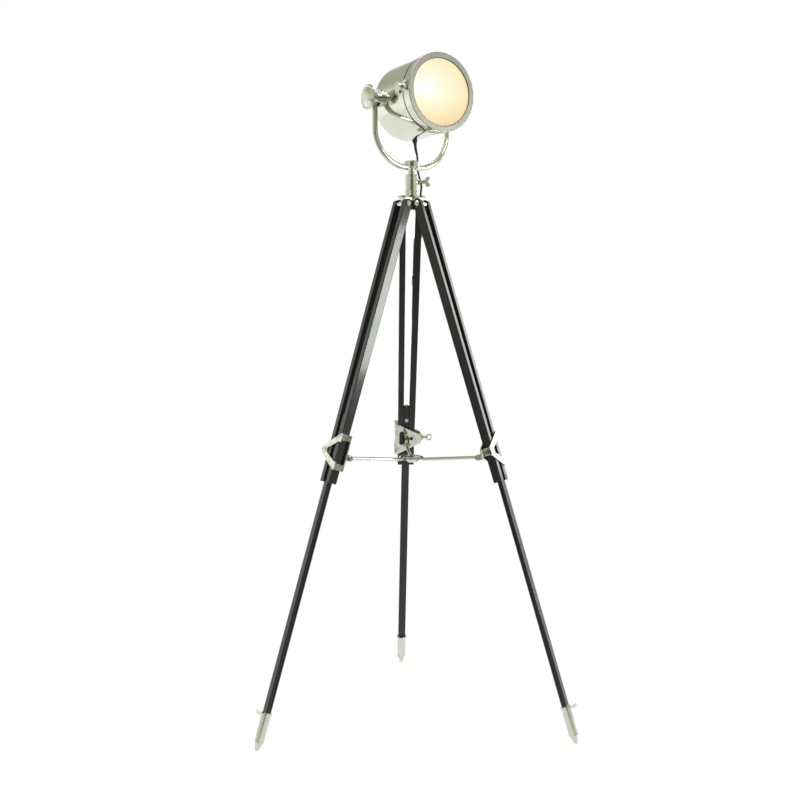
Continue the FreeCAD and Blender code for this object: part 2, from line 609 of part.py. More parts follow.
def bulb():
    base = DRUM_STRAIGHT_BACK - DRUM_BACK_ROUND + DRUM_WALL + 22.5
    outline = [(base, 0), (base, 9), (base + 3, 13.2), (base + 30.5, 13.2), (base + 34, 14.5),
               (base + 52, 22), (base + 66, 28.5), (base + 78, 30), (base + 90, 27.5),
               (base + 100, 20.5), (base + 106, 11), (base + 108, 0)]
    return spun(outline)


def gland():
    body = rod(6.0, V(0, 0, -DRUM_RADIUS - 4), V(0, 0, -DRUM_RADIUS + 0.3))
    body = body.cut(rod(DRUM_RADIUS, V(-20, 0, 0), V(20, 0, 0)))
    body = body.fuse(rod(4.0, V(0, 0, -DRUM_RADIUS - 4), V(0, 0, -DRUM_RADIUS + 5)))
    body = body.fuse(Part.makeCone(5.0, 3.7, 6, V(0, 0, -DRUM_RADIUS - 4), Z * -1))
    body = body.cut(rod(CORD_RADIUS, V(0, 0, -DRUM_RADIUS - 30), V(0, 0, -DRUM_RADIUS + 10)))
    return turned(body, O, X, GLAND_TURN)


# --- cord -------------------------------------------------------------------------------
def tube(edges, radius, start, direction):
    wire = Part.Wire(edges)
    ring = Part.Wire([Part.makeCircle(radius, start, direction)])
    return wire.makePipeShell([ring], True, False), wire


def arced_route(points):
    """Straight runs joined by the largest tangent arcs that the runs allow."""
    edges = []
    radii = []
    last = points[0]
    for before, corner, after in zip(points, points[1:], points[2:]):
        into = corner - before
        out = after - corner
        shorter = min(into.Length, out.Length)
        half_turn = into.getAngle(out) / 2
        setback = 0.45 * shorter
        into.normalize()
        out.normalize()
        start = corner - into * setback
        end = corner + out * setback
        radius = setback / math.tan(half_turn)
        radii.append(radius)
        middle_line = out - into
        middle_line.normalize()
        depth = radius / math.cos(half_turn) - radius
        middle = corner + middle_line * depth
        edges.append(Part.LineSegment(last, start).toShape())
        edges.append(Part.Arc(start, middle, end).toShape())
        last = end
    edges.append(Part.LineSegment(last, points[-1]).toShape())
    return edges, radii


def cord_piece(name, points):
    edges, radii = arced_route(points)
    direction = points[1] - points[0]
    shape, wire = tube(edges, CORD_RADIUS, points[0], direction)
    expected = math.pi * CORD_RADIUS ** 2 * wire.Length
    print(name, "length %.0f" % wire.Length, "radii", ["%.0f" % r for r in radii],
          "volume ratio %.3f" % (shape.Volume / expected))
    save(name, shape)
    return wire.Length


def half_turn(layer_x, end_z, from_y, to_y, upward):
    """Half circle of the coil between two runs."""
    centre = V(layer_x, (from_y + to_y) / 2, end_z)
    radius = abs(to_y - from_y) / 2
    crest = centre + Z * (radius if upward else -radius)
    return Part.Arc(V(layer_x, from_y, end_z), crest, V(layer_x, to_y, end_z)).toShape()


def coil_edges():
    """Flat loops spiral in on one layer, step across on a run and spiral out on the other.

    The first point is on the outermost run at the top, the last on the outermost at the
    bottom. Y is measured from the coil's own middle line.
    """
    high = COIL_RUN / 2
    low = -high
    edges = []
    layer = COIL_PITCH / 2
    outer = COIL_INNER + COIL_PITCH * (COIL_TURNS - 0.5)
    reach = outer
    edges.append(Part.LineSegment(V(layer, reach, high), V(layer, reach, low)).toShape())
    for turn in range(COIL_TURNS):
        near = -(reach - COIL_PITCH / 2)
        edges.append(half_turn(layer, low, reach, near, False))
        if turn == COIL_TURNS - 1:
            break
        edges.append(Part.LineSegment(V(layer, near, low), V(layer, near, high)).toShape())
        edges.append(half_turn(layer, high, near, reach - COIL_PITCH, True))
        reach -= COIL_PITCH
        edges.append(Part.LineSegment(V(layer, reach, high), V(layer, reach, low)).toShape())
    edges.extend(layer_step(layer, near, low, high))
    layer = -layer
    for turn in range(COIL_TURNS):
        edges.append(half_turn(layer, high, near, reach, True))
        edges.append(Part.LineSegment(V(layer, reach, high), V(layer, reach, low)).toShape())
        if turn == COIL_TURNS - 1:
            break
        near -= COIL_PITCH
        edges.append(half_turn(layer, low, reach, near, False))
        edges.append(Part.LineSegment(V(layer, near, low), V(layer, near, high)).toShape())
        reach += COIL_PITCH
    return edges


def layer_step(layer, y, low, high):
    """A run that crosses from one layer to the other along two shallow arcs."""
    rise = (high - low) / 2
    radius = (rise ** 2 + layer ** 2) / (2 * layer)
    sag = radius - math.sqrt(radius ** 2 - (rise / 2) ** 2)
    start = V(layer, y, low)
    middle = V(0, y, (low + high) / 2)
    end = V(-layer, y, high)
    first = V(layer - sag, y, low + rise / 2)
    second = V(-layer + sag, y, high - rise / 2)
    return [Part.Arc(start, first, middle).toShape(), Part.Arc(middle, second, end).toShape()]


def coil_gap(wire):
    """Least gap of the coil to itself, measured on points along it."""
    points = wire.discretize(Distance=3.0)
    least = 1e9
    for i, point in enumerate(points):
        for other in points[i + 9:]:
            least = min(least, point.distanceToPoint(other))
    return least - 2 * CORD_RADIUS


def coil_depth():
    """Distance of the coil's middle line behind the leg's centre line."""
    outer = COIL_INNER + COIL_PITCH * (COIL_TURNS - 0.5)
    return SLAT_DEEP / 2 + 1.2 + CORD_RADIUS + outer


def coil():
    edges = coil_edges()
    start = edges[0].Vertexes[0].Point
    shape, wire = tube(edges, CORD_RADIUS, start, Z)
    print("coil length %.0f" % wire.Length, "least gap %.2f" % coil_gap(wire),
          "volume ratio %.3f" % (shape.Volume / (math.pi * CORD_RADIUS ** 2 * wire.Length)))
    shape = shape.mirror(O, Y)
    return moved(shape, COIL_X, coil_depth(), COIL_S), wire.Length


def coil_strap():
    half = COIL_PITCH / 2 + CORD_RADIUS + 0.35
    back = 2 * coil_depth() - SLAT_DEEP / 2 - 0.8
    inside = box(COIL_X - half, COIL_X + half, SLAT_DEEP / 2 + 1.0, back, -11, 11)
    band = box(COIL_X - half - 1.5, COIL_X + half + 1.5, SLAT_DEEP / 2, back + 1.5, -10, 10)
    return moved(band.cut(inside), 0, 0, COIL_S)


def plug():
    body = box(-6.85, 6.85, -17.6, 17.6, -28, -6)
    body = rounded(body, 5.0, runs_along_z)
    neck = Part.makeCone(8.0, 4.2, 14, V(0, 0, -14), Z)
    body = body.fuse(neck.common(box(-6.8, 6.8, -20, 20, -30, 10)))
    for side in (-1, 1):
        body = body.fuse(rod(2.0, V(0, side * 9.3, -28.5), V(0, side * 9.3, -46)))
        body = body.fuse(rod(1.9, V(0, side * 9.3, -20), V(0, side * 9.3, -29)))
    return moved(body, PLUG_X, PLUG_Y, PLUG_S)


def cord_guide():
    ring = rod(4.6, GUIDE - Z * GUIDE_HALF, GUIDE + Z * GUIDE_HALF)
    arm = box(0, 22, -2.5, 2.5, GUIDE.z - GUIDE_HALF, GUIDE.z)
    arm = turned(arm, O, Z, math.degrees(math.atan2(GUIDE.y, GUIDE.x)))
    body = ring.fuse(arm)
    body = body.cut(Part.makeCylinder(BOSS_RADIUS, 60, V(0, 0, BOSS_BOTTOM - 10), Z))
    return body.cut(rod(CORD_RADIUS, GUIDE - Z * 20, GUIDE + Z * 20))


def leg_point(x, y, s):
    """A point in the rear leg's frame, in the world."""
    lean = math.radians(LEG_LEAN)
    return V(x, FOOT_RADIUS + y * math.cos(lean) - s * math.sin(lean),
             y * math.sin(lean) + s * math.cos(lean))


def head_point(x, y, z):
    point = place_head(turned(Part.Vertex(V(x, y, z)), O, X, GLAND_TURN)).Point
    return V(point.x, point.y, point.z)


def cords():
    """The cord from the head to the plug; returns its whole length."""
    outlet = head_point(0, 0, -DRUM_RADIUS - 10)
    below = head_point(0, 0, -DRUM_RADIUS - 22)
    top = GUIDE + Z * GUIDE_HALF
    total = cord_piece("cord_head", [outlet, below, top + Z * 13, top])
    bottom = GUIDE - Z * GUIDE_HALF
    hole = V(GROMMET_RADIUS * math.cos(math.radians(30)), GROMMET_RADIUS * 0.5, 0)
    above_crown = hole + Z * (PLATE_Z + PLATE_THICK + 1.6)
    total += cord_piece("cord_stem", [bottom, bottom - Z * 14, V(20.5, 19.5, 1308), V(25.5, 16.5, 1288),
                                      above_crown + Z * 12, above_crown])
    under = hole + Z * PLATE_Z
    near_y = SLAT_DEEP / 2 + 1.2 + CORD_RADIUS
    layer = COIL_PITCH / 2
    start = leg_point(COIL_X + layer, near_y, COIL_S + COIL_RUN / 2)
    ahead = leg_point(COIL_X + layer, near_y, COIL_S + COIL_RUN / 2 + 11)
    total += cord_piece("cord_leg", [under, under - Z * 21, V(26.5, 17.5, 1221), V(31.5, 30, 1208),
                                     V(32, 46, 1195), V(30, 60.5, 1180), V(24.5, 68, 1164),
                                     ahead, start])
    tail = [leg_point(COIL_X - layer, near_y, COIL_S - COIL_RUN / 2 - d) for d in (0, 14)]
    tail.append(leg_point(COIL_X - layer + 0.3, near_y + 4, COIL_S - COIL_RUN / 2 - 29))
    tail.append(leg_point(PLUG_X - 0.3, PLUG_Y - 4, PLUG_S + 30))
    tail.append(leg_point(PLUG_X, PLUG_Y, PLUG_S + 14))
    tail.append(leg_point(PLUG_X, PLUG_Y, PLUG_S))
    total += cord_piece("cord_tail", tail)
    shape, wire_length = coil()
    save("cord_coil", place_leg(shape, 0))
    return total + wire_length


def build():
    os.makedirs("parts", exist_ok=True)
    for name, turn in LEG_TURNS.items():
        save("slat_cw_" + name, place_leg(slat(1), turn))
        save("slat_ccw_" + name, place_leg(slat(-1), turn))
        save("pivot_bolt_" + name, place_leg(pivot_bolt(), turn))
        save("lower_leg_" + name, place_leg(lower_leg(), turn))
        save("ferrule_" + name, place_leg(ferrule(), turn))
        save("stop_screw_" + name, place_leg(stop_screw(), turn))
        save("clamp_" + name, place_leg(clamp(), turn))
        save("thumbscrew_" + name, place_leg(thumbscrew(), turn))
        save("spreader_rod_" + name, spreader_rod(turn))
    save("spreader_disc", spreader_disc())
    save("crown", crown())
    save("grommet", grommet())
    save("sleeve", sleeve())
    save("stem_screw", stem_screw())
    save("stem", place_yoke(stem()))
    save("fork", place_yoke(fork()))
    head_pieces = {
        "drum": drum(), "trunnion_left": trunnion(-1), "trunnion_right": trunnion(1),
        "tilt_knob_left": knob(-1), "tilt_knob_right": knob(1), "bezel": bezel(),
        "lens": lens(), "gasket": ring_of(123.9, 121.1, 87.3, 78.5),
        "retainer": ring_of(117.5, 114.6, 87.4, 80.0), "latch_screw": latch_screw(),
        "latch_plate": latch_plate(), "hinge_drum": hinge_drum(), "hinge_bezel": hinge_bezel(),
        "rear_cap": rear_cap(), "reflector": reflector(), "lampholder": lampholder(),
        "bulb": bulb(), "gland": gland(),
    }
    for name, shape in head_pieces.items():
        save(name, place_head(shape))
    save("cord_guide", cord_guide())
    save("coil_strap", place_leg(coil_strap(), 0))
    save("plug", place_leg(plug(), 0))
    print("whole cord %.0f mm" % cords())


build()
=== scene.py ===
"""Looks of the tripod spotlight floor lamp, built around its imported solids."""
import math

import bmesh
import bpy
from mathutils import Euler, Matrix, Vector


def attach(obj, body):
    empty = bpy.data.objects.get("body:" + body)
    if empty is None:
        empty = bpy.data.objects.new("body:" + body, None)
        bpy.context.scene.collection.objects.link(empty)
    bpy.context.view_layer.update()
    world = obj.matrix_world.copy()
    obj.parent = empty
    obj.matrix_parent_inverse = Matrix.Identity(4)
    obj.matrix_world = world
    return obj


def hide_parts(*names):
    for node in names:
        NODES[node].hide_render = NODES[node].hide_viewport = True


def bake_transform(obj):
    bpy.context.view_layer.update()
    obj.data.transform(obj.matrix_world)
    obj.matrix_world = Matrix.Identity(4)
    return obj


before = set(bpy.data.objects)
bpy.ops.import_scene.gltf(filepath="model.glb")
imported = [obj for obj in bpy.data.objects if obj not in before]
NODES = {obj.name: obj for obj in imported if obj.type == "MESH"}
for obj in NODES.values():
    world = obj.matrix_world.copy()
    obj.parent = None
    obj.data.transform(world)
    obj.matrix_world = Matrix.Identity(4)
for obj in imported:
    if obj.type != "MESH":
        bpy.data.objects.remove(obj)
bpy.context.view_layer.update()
TURNS = {"rear": 0.0, "left": 120.0, "right": 240.0}

# --- the same driving lengths as the source, in metres ------------------------------------
FOOT_RADIUS = 0.420
PIVOT_RADIUS = 0.027
PIVOT_HEIGHT = 1.2420
SLAT_BACK = 0.0105
GAP_LOW = 0.0120
GAP_HIGH = 0.0244
SLAT_LOW = 0.622
GROOVE = 0.0043
LEAN = math.atan2(FOOT_RADIUS - PIVOT_RADIUS, PIVOT_HEIGHT)
LEG_LENGTH = math.hypot(FOOT_RADIUS - PIVOT_RADIUS, PIVOT_HEIGHT)
PAN = math.radians(-61.05)
TILT = math.radians(1.2)
TILT_Z = 1.4825
GLAND_TURN = math.radians(5.0)
GLAND_END = 0.098             # from the head's axis to the cord's exit
BEZEL_FACE = 0.1248           # the brushed front face starts here, along the head's axis
CORD = 0.005
COIL_INNER = 0.0155
COIL_PITCH = 0.0057
COIL_TURNS = 3
COIL_RUN = 0.170
COIL_X = 0.0185
COIL_S = 1.100
NEAR_SLAT = SLAT_BACK + 0.0012 + CORD / 2
COIL_DEPTH = NEAR_SLAT + COIL_INNER + COIL_PITCH * (COIL_TURNS - 0.5)
BEND_SWELL = 1.02             # a spline cuts its corners, so the coil's bends start wider
GUIDE = Vector((0.0155, 0.0205, 1.342))
GUIDE_HALF = Vector((0, 0, 0.004))
GROMMET_RADIUS = 0.0260
GROMMET_TURN = math.radians(30)
CROWN_TOP = 1.2636
CROWN_UNDER = 1.2568
LEG_BEND = Vector((0, 0, 0.021))    # below the crown the cord starts to follow the leg
PLUG_S = 0.942
HEAD = (Matrix.Translation((0, 0, TILT_Z)) @ Matrix.Rotation(PAN, 4, "Z")
        @ Matrix.Rotation(-TILT, 4, "Y"))


def leg_point(x, y, s, turn=0.0):
    """A leg's point in the row frame: x clockwise, y outward, s up the leg from its tip."""
    point = Vector((x, FOOT_RADIUS + y * math.cos(LEAN) - s * math.sin(LEAN),
                    y * math.sin(LEAN) + s * math.cos(LEAN)))
    return Matrix.Rotation(math.radians(turn), 3, "Z") @ point


def leg_matrix(turn):
    """The frame of the leg at this turn round the stem, in degrees."""
    lean = Matrix.Translation((0, FOOT_RADIUS, 0)) @ Matrix.Rotation(LEAN, 4, "X")
    return Matrix.Rotation(math.radians(turn), 4, "Z") @ lean


def link(name, mesh):
    """A new object in the scene that carries this data."""
    obj = bpy.data.objects.new(name, mesh)
    bpy.context.scene.collection.objects.link(obj)
    return obj


# --- camera -------------------------------------------------------------------------------
camera = bpy.data.objects.new("camera", bpy.data.cameras.new("camera"))
camera.location = (-0.1818, -2.6074, 0.9544)
camera.rotation_euler = Euler((math.radians(86.087), 0, math.radians(-3.378)))
camera.data.sensor_width = 36
camera.data.lens = 48.78
bpy.context.scene.collection.objects.link(camera)
bpy.context.scene.camera = camera


# --- cords --------------------------------------------------------------------------------
def spline_points(name, points):
    """Points along one open NURBS spline that has the given control points."""
    curve = bpy.data.curves.new(name + "_line", "CURVE")
    curve.dimensions = "3D"
    spline = curve.splines.new("NURBS")
    spline.points.add(len(points) - 1)
    for target, point in zip(spline.points, points):
        target.co = (*point, 1)
    spline.order_u = 3
    spline.use_endpoint_u = True
    spline.resolution_u = 8
    holder = link(name + "_line", curve)
    bpy.context.view_layer.update()
    mesh = bpy.data.meshes.new_from_object(holder)
    line = [v.co.copy() for v in mesh.vertices]
    bpy.data.objects.remove(holder)
    bpy.data.meshes.remove(mesh)
    bpy.data.curves.remove(curve)
    return line


def sweep(name, line, radii, sides=16):
    """A closed tube along a line; radii is one radius or one for each point."""
    if not hasattr(radii, "__len__"):
        radii = [radii] * len(line)
    bm = bmesh.new()
    across = (line[1] - line[0]).orthogonal().normalized()
    rings = []
    for i, point in enumerate(line):
        ahead = line[min(i + 1, len(line) - 1)] - line[max(i - 1, 0)]
        ahead.normalize()
        across = (across - ahead * across.dot(ahead)).normalized()
        side = ahead.cross(across)
        ring = []
        for k in range(sides):
            angle = 2 * math.pi * k / sides
            outward = across * math.cos(angle) + side * math.sin(angle)
            ring.append(bm.verts.new(point + outward * radii[i]))
        rings.append(ring)
    for low, high in zip(rings, rings[1:]):
        for k in range(sides):
            face = bm.faces.new((low[k], low[(k + 1) % sides], high[(k + 1) % sides], high[k]))
            face.smooth = True
    bm.faces.new(list(reversed(rings[0])))
    bm.faces.new(rings[-1])
    mesh = bpy.data.meshes.new(name)
    bm.to_mesh(mesh)
    bm.free()
    return link(name, mesh)


def gland_point(x, y, z):
    """A point in the head's frame, turned to where the cord leaves the drum."""
    return HEAD @ (Matrix.Rotation(GLAND_TURN, 3, "X") @ Vector((x, y, z)))


def coil_points():
    """Control points of the wound length, in the leg's frame: two layers of flat loops."""
    half = COIL_RUN / 2
    points = []

    def to_leg(x, y, z):
        points.append(leg_point(COIL_X + x, COIL_DEPTH - y, COIL_S + z))

    def run(x_from, x_to, y, from_z, to_z):
        for share in (0.1, 0.3, 0.5, 0.7, 0.9):
            to_leg(x_from + (x_to - x_from) * share, y, from_z + (to_z - from_z) * share)

    def bend(x, z, from_y, to_y, upward):
        middle = (from_y + to_y) / 2
        radius = (from_y - to_y) / 2
        rise = abs(radius) * (1 if upward else -1)
        for step in range(1, 8):
            angle = math.pi * step / 8
            to_leg(x, middle + radius * BEND_SWELL * math.cos(angle),
                   z + rise * BEND_SWELL * math.sin(angle))

    layer = COIL_PITCH / 2
    reach = COIL_INNER + COIL_PITCH * (COIL_TURNS - 0.5)
    run(layer, layer, reach, half, -half)
    for turn in range(COIL_TURNS):
        near = -(reach - COIL_PITCH / 2)
        bend(layer, -half, reach, near, False)
        if turn == COIL_TURNS - 1:
            break
        run(layer, layer, near, -half, half)
        bend(layer, half, near, reach - COIL_PITCH, True)
        reach -= COIL_PITCH
        run(layer, layer, reach, half, -half)
    run(layer, -layer, near, -half, half)
    for turn in range(COIL_TURNS):
        bend(-layer, half, near, reach, True)
        run(-layer, -layer, reach, half, -half)
        if turn == COIL_TURNS - 1:
            break
        near -= COIL_PITCH
        bend(-layer, -half, reach, near, False)
        run(-layer, -layer, near, -half, half)
        reach += COIL_PITCH
    return points


guide_top = GUIDE + GUIDE_HALF
guide_bottom = GUIDE - GUIDE_HALF
hole = Vector((GROMMET_RADIUS * math.cos(GROMMET_TURN), GROMMET_RADIUS * math.sin(GROMMET_TURN), 0))
crown_top = hole + Vector((0, 0, CROWN_TOP))
under = hole + Vector((0, 0, CROWN_UNDER))
layer_x = COIL_PITCH / 2
coil_top = COIL_S + COIL_RUN / 2
coil_low = COIL_S - COIL_RUN / 2

head_route = [gland_point(0, 0, -GLAND_END), gland_point(0, 0, -GLAND_END - 0.012),
              guide_top + Vector((0, 0, 0.013)), guide_top]
stem_route = [guide_bottom, guide_bottom - Vector((0, 0, 0.014)), Vector((0.0205, 0.0195, 1.308)),
              Vector((0.0255, 0.0165, 1.288)), crown_top + Vector((0, 0, 0.012)), crown_top]
wound_route = [under, under - LEG_BEND, Vector((0.0265, 0.0175, 1.221)),
               Vector((0.0315, 0.030, 1.208)), Vector((0.032, 0.046, 1.195)),
               Vector((0.030, 0.0605, 1.180)), Vector((0.0245, 0.068, 1.164)),
               leg_point(COIL_X + layer_x, NEAR_SLAT, coil_top + 0.011)]
wound_route += coil_points()
wound_route += [leg_point(COIL_X - layer_x, NEAR_SLAT, coil_low - 0.014),
                leg_point(COIL_X - layer_x + 0.0003, NEAR_SLAT + 0.004, coil_low - 0.029),
                leg_point(0.0177, 0.0253, PLUG_S + 0.030), leg_point(0.018, 0.0293, PLUG_S + 0.014),
                leg_point(0.018, 0.0293, PLUG_S)]

head_line = spline_points("flex_head", head_route)
stem_line = spline_points("flex_stem", stem_route)
wound_line = spline_points("flex_wound", wound_route)
flex_head = sweep("flex_head", head_line, CORD / 2)
flex_stem = sweep("flex_stem", stem_line, CORD / 2)
flex_wound = sweep("flex_wound", wound_line, CORD / 2, sides=12)
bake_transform(flex_head)
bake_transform(flex_stem)
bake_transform(flex_wound)
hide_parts("cord_head")
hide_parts("cord_stem")
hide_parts("cord_leg", "cord_coil", "cord_tail")


# --- materials ----------------------------------------------------------------------------
class Nodes:
    """Short-hand for one material's node tree."""

    def __init__(self, name):
        self.material = bpy.data.materials.new(name)
        self.material.use_nodes = True
        self.tree = self.material.node_tree
        self.shader = self.tree.nodes["Principled BSDF"]

    def add(self, kind, settings=None, **inputs):
        node = self.tree.nodes.new("ShaderNode" + kind)
        for key, value in (settings or {}).items():
            setattr(node, key, value)
        for key, value in inputs.items():
            self.put(node, key.replace("_", " "), value)
        return node

    def put(self, node, key, value):
        socket = node.inputs[int(key)] if key.isdigit() else node.inputs[key]
        if isinstance(value, bpy.types.NodeSocket):
            self.tree.links.new(value, socket)
        else:
            socket.default_value = value

    def place(self, matrix=None, scale=(1, 1, 1)):
        """Coordinates of a frame given by its matrix, in metres, times scale."""
        here = self.add("TexCoord").outputs["Object"]
        if matrix is not None:
            settings = {"vector_type": "TEXTURE"}
            mapping = self.add("Mapping", settings, Vector=here)
            mapping.inputs["Location"].default_value = matrix.to_translation()
            mapping.inputs["Rotation"].default_value = matrix.to_euler()
            here = mapping.outputs["Vector"]
        mapping = self.add("Mapping", {"vector_type": "POINT"}, Vector=here)
        mapping.inputs["Scale"].default_value = scale
        return mapping.outputs["Vector"]

    def noise(self, where, scale, detail=3.0, rough=0.5):
        node = self.add("TexNoise", None, Vector=where, Scale=scale, Detail=detail, Roughness=rough)
        return node.outputs["Fac"]

    def ramp(self, value, stops, ease="LINEAR"):
        node = self.add("ValToRGB", None, Fac=value)
        band = node.color_ramp
        band.interpolation = ease
        while len(band.elements) < len(stops):
            band.elements.new(0.5)
        for element, (place, colour) in zip(band.elements, stops):
            if not hasattr(colour, "__len__"):
                colour = (colour, colour, colour)
            element.position = place
            element.color = (*colour, 1)
        return node.outputs["Color"]

    def math(self, kind, a, b=0.0):
        node = self.add("Math", {"operation": kind})
        self.put(node, "0", a)
        self.put(node, "1", b)
        return node.outputs[0]

    def bump(self, height, strength, distance):
        node = self.add("Bump", None, Height=height, Strength=strength, Distance=distance)
        self.put(self.shader, "Normal", node.outputs["Normal"])

    def base(self, **values):
        for key, value in values.items():
            self.put(self.shader, key.replace("_", " "), value)


NICKEL = (0.72, 0.735, 0.625)
WORN_NICKEL = tuple(c * 0.95 for c in NICKEL)
BAND_NICKEL = tuple(c * 0.96 for c in NICKEL)
# dark colour of the random mottles on cast nickel
CAST_DARK_MOTTLE = (0.34, 0.31, 0.225)


def polished(name, matrix=None, lines=0.0, waves=0.0):
    """Bright nickel: a cloud of polish, with hairlines where spun, waves and random darker mottles
    where cast.
    """
    m = Nodes(name)
    cloud = m.noise(m.place(None), 38.0, 4.0)
    m.base(Metallic=1.0, Base_Color=m.ramp(cloud, [(0.35, WORN_NICKEL), (0.65, NICKEL)]))
    m.base(Roughness=m.ramp(cloud, [(0.3, 0.045), (0.7, 0.095)]))
    if lines:
        hair = m.noise(m.place(matrix, (1, 0.02, 0.02)), 900.0, 2.0)
        m.bump(hair, lines, 0.0004)
    elif waves:
        m.bump(m.noise(m.place(None), 55.0, 3.0), waves, 0.004)
        # random darker mottles in the base colour of the cast nickel
        dark_mottle = m.noise(m.place(None), 75.0, 4.0, 0.65)
        m.base(Base_Color=m.ramp(dark_mottle, [(0.36, CAST_DARK_MOTTLE), (0.49, NICKEL)]))
    else:
        m.bump(m.noise(m.place(None), 160.0, 2.0), 0.007, 0.0004)
    return m.material


def satin(name):
    """Brushed front face; the band round the side keeps the drum's polish."""
    m = Nodes(name)
    where = m.place(HEAD)
    cloud = m.noise(where, 25.0, 3.0, 0.5)
    face = m.math("GREATER_THAN", m.add("SeparateXYZ", None, Vector=where).outputs["X"], BEZEL_FACE)
    brushed = m.ramp(cloud, [(0.3, (0.375, 0.365, 0.33)), (0.7, (0.405, 0.395, 0.355))])
    tone = m.add("Mix", {"data_type": "RGBA"})
    m.put(tone, "0", face)
    m.put(tone, "6", (*BAND_NICKEL, 1))
    m.put(tone, "7", brushed)
    rough = m.ramp(cloud, [(0.3, 0.36), (0.7, 0.42)])
    m.base(Metallic=1.0, Base_Color=tone.outputs[2])
    m.base(Roughness=m.math("MAXIMUM", m.math("MULTIPLY", rough, face), 0.08))
    return m.material


def inside_share(m, where):
    """1 on the faces that two slats turn to each other and in their channels, else 0."""
    split = m.add("SeparateXYZ", None, Vector=where)
    aside = m.math("ABSOLUTE", split.outputs["X"])
    slope = (GAP_HIGH - GAP_LOW) / 2 / (LEG_LENGTH - SLAT_LOW)
    edge = m.math("MULTIPLY_ADD", split.outputs["Z"], slope)
    edge.node.inputs[2].default_value = GAP_LOW / 2 - slope * SLAT_LOW
    past = m.math("SUBTRACT", aside, edge)
    face = m.math("LESS_THAN", past, 0.0004)
    channel = m.math("LESS_THAN", past, GROOVE + 0.0004)
    middle = m.math("LESS_THAN", m.math("ABSOLUTE", split.outputs["Y"]), 0.0072)
    return m.math("MAXIMUM", face, m.math("MULTIPLY", channel, middle))


def wood(name, turn, slats):
    """Black lacquer over grain that runs up the leg, dull where two slats face each other."""
    m = Nodes(name)
    along = m.place(leg_matrix(turn), (1, 1, 0.035))
    grain = m.noise(along, 420.0, 4.0, 0.6)
    band = m.noise(along, 90.0, 2.0)
    pores = m.ramp(grain, [(0.38, 0.0), (0.52, 1.0)])
    tone = m.ramp(band, [(0.3, (0.012, 0.0125, 0.0105)), (0.7, (0.021, 0.0215, 0.0185))])
    worn = m.noise(m.place(None), 14.0, 3.0)
    rough = m.ramp(worn, [(0.3, 0.2), (0.7, 0.3)])
    coat = 1.0
    if slats:
        dull = inside_share(m, m.place(leg_matrix(turn)))
        rough = m.math("MAXIMUM", rough, m.math("MULTIPLY", dull, 0.85))
        coat = m.math("SUBTRACT", 1.0, dull)
    m.base(Base_Color=tone, Roughness=rough, IOR=1.5, Specular_IOR_Level=0.15)
    m.base(Coat_Weight=coat, Coat_Roughness=0.09, Coat_IOR=1.37)
    m.bump(pores, 0.12, 0.0003)
    return m.material


def plain(name, low, high, rough, scale=120.0, bump=0.05, **values):
    m = Nodes(name)
    cloud = m.noise(m.place(None), scale, 3.0)
    m.base(Base_Color=m.ramp(cloud, [(0.3, low), (0.7, high)]))
    m.base(Roughness=m.ramp(cloud, [(0.3, rough * 0.85), (0.7, rough * 1.15)]))
    m.base(**values)
    m.bump(m.noise(m.place(None), scale * 6, 2.0), bump, 0.0004)
    return m.material


def lit_lens(name):
    """Frosted pane lit from behind; brightest on the side turned to the bulb's flare."""
    m = Nodes(name)
    where = m.place(HEAD, (1, 1, 1))
    split = m.add("SeparateXYZ", None, Vector=where)
    across = m.math("MULTIPLY", m.math("ADD", split.outputs["Y"], 0.046), 0.75)
    up = m.math("ADD", split.outputs["Z"], 0.002)
    square = m.math("ADD", m.math("MULTIPLY", across, across), m.math("MULTIPLY", up, up))
    reach = m.math("SQRT", square)
    frost = m.noise(where, 30.0, 3.0)
    reach = m.math("ADD", reach, m.math("MULTIPLY", m.math("SUBTRACT", frost, 0.5), 0.016))
    below = m.math("MAXIMUM", m.math("MULTIPLY", split.outputs["Z"], -1.0), 0.0)
    reach = m.math("MULTIPLY", m.math("ADD", reach, m.math("MULTIPLY", below, 0.80)), 6.4)
    glow = m.ramp(reach, [(0.0, (1.0, 1.0, 1.0)), (0.10, (1.0, 0.99, 0.94)),
                          (0.27, (1.0, 0.92, 0.68)), (0.60, (0.95, 0.79, 0.47)),
                          (1.0, (0.80, 0.60, 0.30))])
    m.base(Base_Color=(0.05, 0.045, 0.035, 1), Roughness=0.45)
    m.base(Emission_Color=glow, Emission_Strength=0.96)
    m.bump(m.noise(where, 900.0, 2.0), 0.15, 0.0003)
    return m.material


def woven(name):
    """Black webbing, with its threads along and across the strap."""
    m = Nodes(name)
    where = m.place(leg_matrix(0.0), (1, 1, 1))
    warp = m.add("TexWave", {"bands_direction": "Z"}, Vector=where, Scale=180.0).outputs["Fac"]
    weft = m.add("TexWave", {"bands_direction": "X"}, Vector=where, Scale=180.0).outputs["Fac"]
    cross = m.math("MULTIPLY", warp, weft)
    m.base(Base_Color=m.ramp(cross, [(0.1, (0.008, 0.008, 0.008)), (0.6, (0.03, 0.03, 0.03))]))
    m.base(Roughness=0.9, Sheen_Weight=0.3)
    m.bump(cross, 0.5, 0.0004)
    return m.material


def dress(material, *names):
    """Give these solids this one material."""
    for name in names:
        mesh = NODES[name].data
        mesh.materials.clear()
        mesh.materials.append(material)


